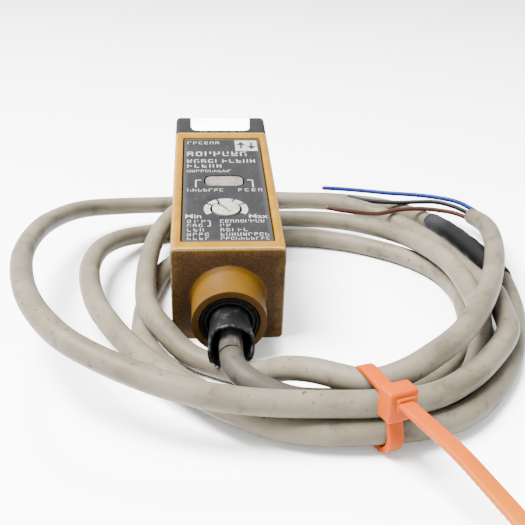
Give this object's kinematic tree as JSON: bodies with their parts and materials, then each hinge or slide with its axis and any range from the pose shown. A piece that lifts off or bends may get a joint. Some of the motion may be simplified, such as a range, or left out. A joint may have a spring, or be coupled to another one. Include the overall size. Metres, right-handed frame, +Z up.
{
  "type": "photoelectric sensor",
  "caption": "Box-shaped photoelectric sensor with a lens head, label plate, turning sensitivity adjuster and a tied loop of its own cable.",
  "frame": {"origin": "under the centre of the sensor's own bounding box, on the surface that the cable and the lower rear edge of the sensor rest on", "axes": "+Y from the cable end to the lens end, +X across the sensor to the right seen from the cable end, +Z up; the sensor lies pitched up by 9.5 degrees towards its lens end"},
  "size_m": [0.1027, 0.1552, 0.0285],
  "materials": {
    "ochre_paint": "worn ochre enamel",
    "black_plastic": "matt",
    "charcoal_plate": "satin, printed",
    "black_rubber": "matt",
    "milky_acrylic": "glossy, milky",
    "smoke_acrylic": "glossy, smoked",
    "cream_nylon": "satin",
    "clear_lens": "clear",
    "green_laminate": "satin",
    "black_epoxy": "matt",
    "tin_plate": "bright",
    "red_lamp": "clear tinted",
    "green_lamp": "clear tinted",
    "zinc_screw": "satin",
    "grey_jacket": "satin vinyl",
    "blue_jacket": "satin vinyl",
    "brown_jacket": "satin vinyl",
    "black_jacket": "satin vinyl",
    "orange_nylon": "satin"
  },
  "bodies": {
    "sensor": {"housing": "ochre_paint", "label_plate": "charcoal_plate", "plate_seal": "black_rubber", "indicator_window": "smoke_acrylic", "lamp_stability": "green_lamp", "lamp_output": "red_lamp", "lamp_spacer": "black_plastic", "adjuster_seal": "black_rubber", "trimmer_body": "black_epoxy", "main_board": "green_laminate", "shield_can": "tin_plate", "signal_chip": "black_epoxy", "output_transistor": "black_epoxy", "regulator": "black_epoxy", "capacitor_input": "tin_plate", "capacitor_output": "tin_plate", "board_header": "black_plastic", "lens_head": "black_plastic", "head_seal": "black_rubber", "head_screw_left": "zinc_screw", "head_screw_right": "zinc_screw", "light_window": "milky_acrylic", "optics_block": "black_plastic", "lens_emitter": "clear_lens", "lens_receiver": "clear_lens", "emitter_diode": "red_lamp", "receiver_diode": "black_epoxy", "optics_board": "green_laminate", "gland_bush": "black_rubber", "cable_boot": "black_rubber", "cable_entry": "grey_jacket", "cable_clamp": "tin_plate", "lead_brown": "brown_jacket", "lead_blue": "blue_jacket", "lead_black": "black_jacket", "cable": "grey_jacket", "splice_sleeve": "black_rubber", "conductor_blue": "blue_jacket", "conductor_black": "black_jacket", "conductor_brown": "brown_jacket", "cable_tie": "orange_nylon"},
    "adjuster": {"sensitivity_adjuster": "cream_nylon"}
  },
  "joints": [
    {"name": "adjuster_turn", "type": "hinge", "parent": "sensor", "child": "adjuster", "pos_m": [0, -0.00841, 0.02131], "axis": [0, -0.165, 0.9863], "range_deg": [-153, 83]}
  ]
}
